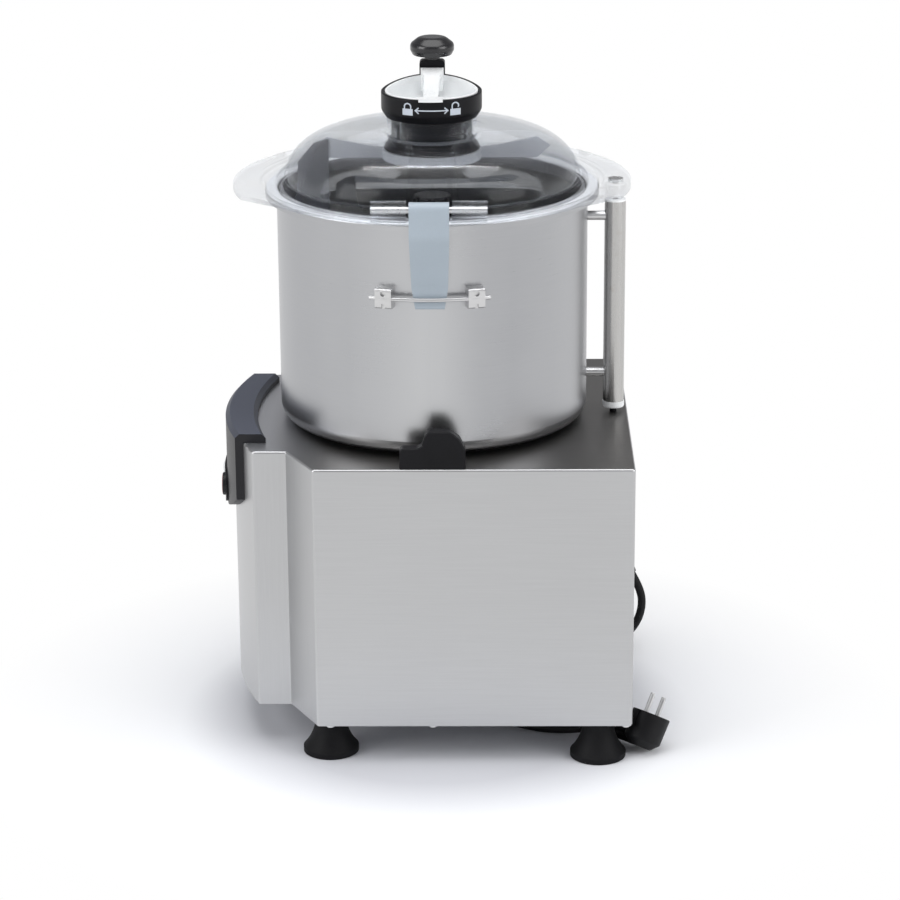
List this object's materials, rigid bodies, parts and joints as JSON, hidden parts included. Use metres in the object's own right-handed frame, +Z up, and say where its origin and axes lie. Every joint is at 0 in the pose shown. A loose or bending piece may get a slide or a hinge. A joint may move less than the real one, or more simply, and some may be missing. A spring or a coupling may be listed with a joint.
{
  "type": "meat bowl cutter",
  "caption": "Table-top bowl cutter: folded steel housing, lift-out bowl with knives, clear hinged lid with a hand-turned scraper, catch, and mains cord.",
  "frame": {"origin": "at floor level under the drive shaft's axis, in the plane of the feet's soles", "axes": "+Z up along the drive shaft, -Y to the control panel, +Y to the bowl's handle and the cord, +X to the lid's hinge"},
  "size_m": [0.3679, 0.428, 0.6462],
  "materials": {
    "brushed_steel": "brushed stainless sheet, fine grain along the wall",
    "bowl_steel": "satin stainless, ring-turned on the bowl",
    "machined_steel": "machined steel",
    "blade_steel": "ground blade steel",
    "winding_steel": "dark lacquered steel",
    "cast_aluminium": "cast aluminium",
    "clear_plastic": "clear transparent polycarbonate, polished",
    "black_plastic": "black moulded plastic, fine grain",
    "dark_grey_plastic": "dark grey flexible plastic",
    "grey_plastic": "light blue-grey moulded plastic",
    "white_plastic": "white moulded plastic",
    "green_plastic": "green button plastic",
    "red_plastic": "red button plastic",
    "board_green": "green circuit board",
    "black_rubber": "black moulded rubber",
    "cord_rubber": "black cord jacket"
  },
  "bodies": {
    "base": {"base_housing": "brushed_steel", "bottom_plate": "brushed_steel", "bottom_plate_screws": "machined_steel", "foot_studs": "machined_steel", "bowl_seat_ring": "black_rubber", "shaft_boss": "machined_steel", "shaft_seal": "black_rubber", "motor_mount_plate": "machined_steel", "motor_flange": "cast_aluminium", "motor_screws": "machined_steel", "motor_casing": "cast_aluminium", "stator_core": "winding_steel", "lower_end_shield": "cast_aluminium", "shaft_bearings": "machined_steel", "fan_cowl": "winding_steel", "run_capacitor": "white_plastic", "control_board": "board_green", "interlock_switch": "black_plastic", "control_panel": "black_plastic", "keypad": "grey_plastic", "catch_pivot_pin": "machined_steel", "cord_gland": "black_plastic", "power_cord": "cord_rubber", "cord_coil": "cord_rubber", "plug_lead": "cord_rubber", "plug_body": "black_plastic", "plug_pins": "machined_steel", "foot_front_left": "black_rubber", "foot_front_right": "black_rubber", "foot_rear_left": "black_rubber", "foot_rear_right": "black_rubber"},
    "shaft": {"drive_shaft": "machined_steel", "rotor": "winding_steel", "cooling_fan": "black_plastic"},
    "start_button": {"start_button": "green_plastic"},
    "pulse_button": {"pulse_button": "white_plastic"},
    "stop_button": {"stop_button": "red_plastic"},
    "catch": {"bowl_catch": "black_plastic"},
    "bowl": {"bowl": "bowl_steel", "handle_tube": "bowl_steel", "handle_standoffs": "bowl_steel", "handle_caps": "white_plastic", "keeper_bar": "bowl_steel", "keeper_brackets": "bowl_steel"},
    "push_rod": {"push_rod": "black_plastic"},
    "knives": {"knife_hub": "black_plastic", "lower_blade": "blade_steel", "upper_blade": "blade_steel", "knife_knob": "black_plastic"},
    "hinge_arm": {"hinge_arm": "grey_plastic"},
    "lid": {"lid_dome": "clear_plastic", "lid_seal": "black_rubber", "lid_magnet": "machined_steel", "hinge_pin": "machined_steel"},
    "scraper": {"scraper_hub": "black_plastic", "scraper_arm": "grey_plastic", "wall_scraper": "dark_grey_plastic", "crank_ring": "black_plastic"},
    "crank_knob": {"crank_knob": "black_plastic"},
    "filler_cap": {"filler_cap": "white_plastic"}
  },
  "joints": [
    {"name": "shaft_spin", "type": "hinge", "parent": "base", "child": "shaft", "pos_m": [0, 0, 0.2], "axis": [0, 0, 1], "continuous": true},
    {"name": "start_press", "type": "slide", "parent": "base", "child": "start_button", "axis": [0, 1, 0], "range_m": [0, 0.0015], "stiffness_N_per_m": 400, "springref_m": -0.001},
    {"name": "pulse_press", "type": "slide", "parent": "base", "child": "pulse_button", "axis": [0, 1, 0], "range_m": [0, 0.0015], "stiffness_N_per_m": 400, "springref_m": -0.001},
    {"name": "stop_press", "type": "slide", "parent": "base", "child": "stop_button", "axis": [0, 1, 0], "range_m": [0, 0.0015], "stiffness_N_per_m": 400, "springref_m": -0.001},
    {"name": "catch_swing", "type": "hinge", "parent": "base", "child": "catch", "pos_m": [0.171, -0.0206, 0.3], "axis": [0, 0, -1], "range_deg": [0, 75]},
    {"name": "bowl_lift", "type": "slide", "parent": "base", "child": "bowl", "axis": [0, 0, 1], "range_m": [0, 0.15]},
    {"name": "rod_rise", "type": "slide", "parent": "bowl", "child": "push_rod", "axis": [0, 0, 1], "range_m": [0, 0.004]},
    {"name": "knife_spin", "type": "hinge", "parent": "bowl", "child": "knives", "pos_m": [0, 0, 0.4], "axis": [0, 0, 1], "continuous": true},
    {"name": "lid_lift", "type": "slide", "parent": "bowl", "child": "hinge_arm", "axis": [0, 0, 1], "range_m": [0, 0.025]},
    {"name": "lid_open", "type": "hinge", "parent": "hinge_arm", "child": "lid", "pos_m": [0.164, 0, 0.5303], "axis": [0, 1, 0], "range_deg": [0, 100]},
    {"name": "scraper_turn", "type": "hinge", "parent": "lid", "child": "scraper", "pos_m": [0, 0, 0.58], "axis": [0, 0, 1], "continuous": true},
    {"name": "knob_spin", "type": "hinge", "parent": "scraper", "child": "crank_knob", "pos_m": [-0.05, 0, 0.63], "axis": [0, 0, 1], "continuous": true},
    {"name": "cap_lift", "type": "slide", "parent": "scraper", "child": "filler_cap", "axis": [0, 0, 1], "range_m": [0, 0.01]}
  ],
  "couplings": [
    {"joint": "knife_spin", "follows": "shaft_spin", "ratio": 1}
  ]
}
